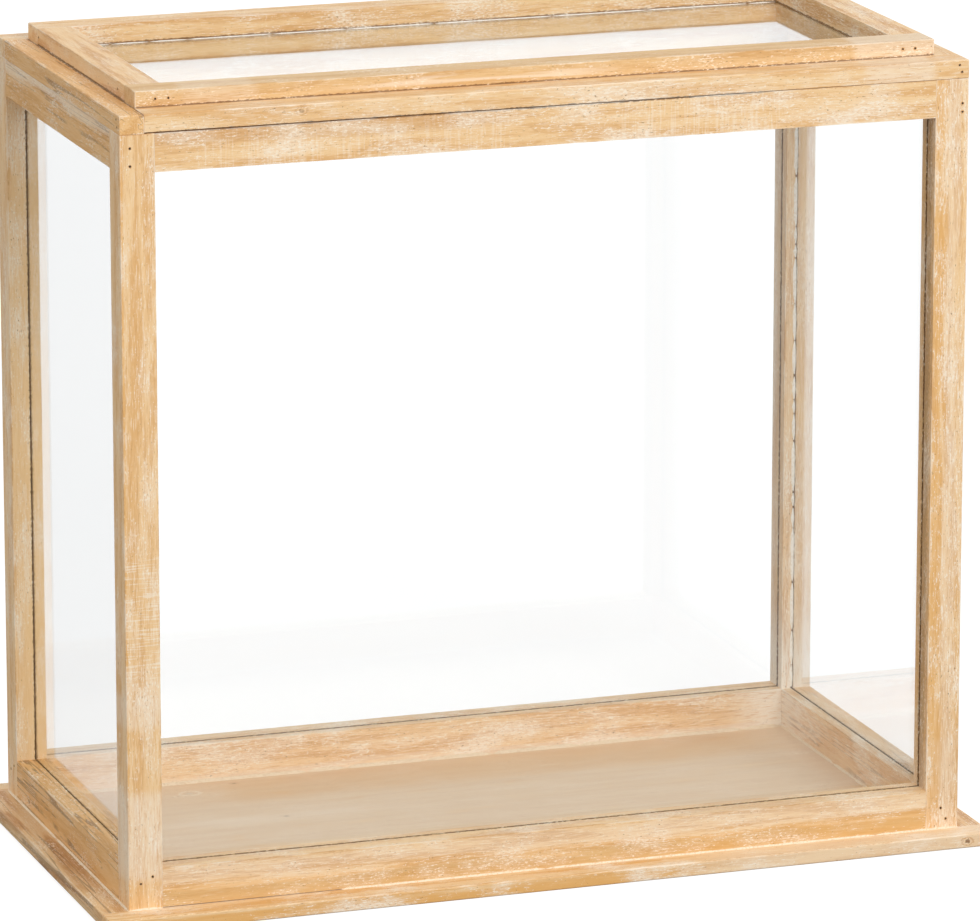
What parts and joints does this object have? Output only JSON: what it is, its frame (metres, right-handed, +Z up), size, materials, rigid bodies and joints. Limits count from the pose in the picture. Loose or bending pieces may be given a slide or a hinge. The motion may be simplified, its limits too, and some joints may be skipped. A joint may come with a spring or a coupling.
{
  "type": "glazed display case",
  "caption": "Table-top display case: grooved post-and-rail frame of limed wood on a projecting base board, clear panes all round, and a stepped glazed lid that lifts off.",
  "frame": {"origin": "middle of the underside of the base board", "axes": "+X to the right along the long front, +Y to the back, +Z up; the front faces -Y"},
  "size_m": [0.6376, 0.3396, 0.5643],
  "materials": {
    "limed_wood": "matt",
    "clear_glass": "polished"
  },
  "bodies": {
    "case": {"base_panel": "limed_wood", "base_lipping_front": "limed_wood", "base_lipping_back": "limed_wood", "base_lipping_left": "limed_wood", "base_lipping_right": "limed_wood", "post_front_left": "limed_wood", "post_front_right": "limed_wood", "post_back_left": "limed_wood", "post_back_right": "limed_wood", "bottom_rail_front": "limed_wood", "bottom_rail_back": "limed_wood", "bottom_rail_left": "limed_wood", "bottom_rail_right": "limed_wood", "top_rail_front": "limed_wood", "top_rail_back": "limed_wood", "top_rail_left": "limed_wood", "top_rail_right": "limed_wood", "glass_front": "clear_glass", "glass_back": "clear_glass", "glass_left": "clear_glass", "glass_right": "clear_glass"},
    "lid": {"lid_frame_front": "limed_wood", "lid_frame_back": "limed_wood", "lid_frame_left": "limed_wood", "lid_frame_right": "limed_wood", "lid_rim_front": "limed_wood", "lid_rim_back": "limed_wood", "lid_rim_left": "limed_wood", "lid_rim_right": "limed_wood", "lid_glass": "clear_glass"}
  },
  "joints": [
    {"name": "lid_lift", "type": "slide", "parent": "case", "child": "lid", "axis": [0, 0, 1], "range_m": [0, 0.15]}
  ]
}
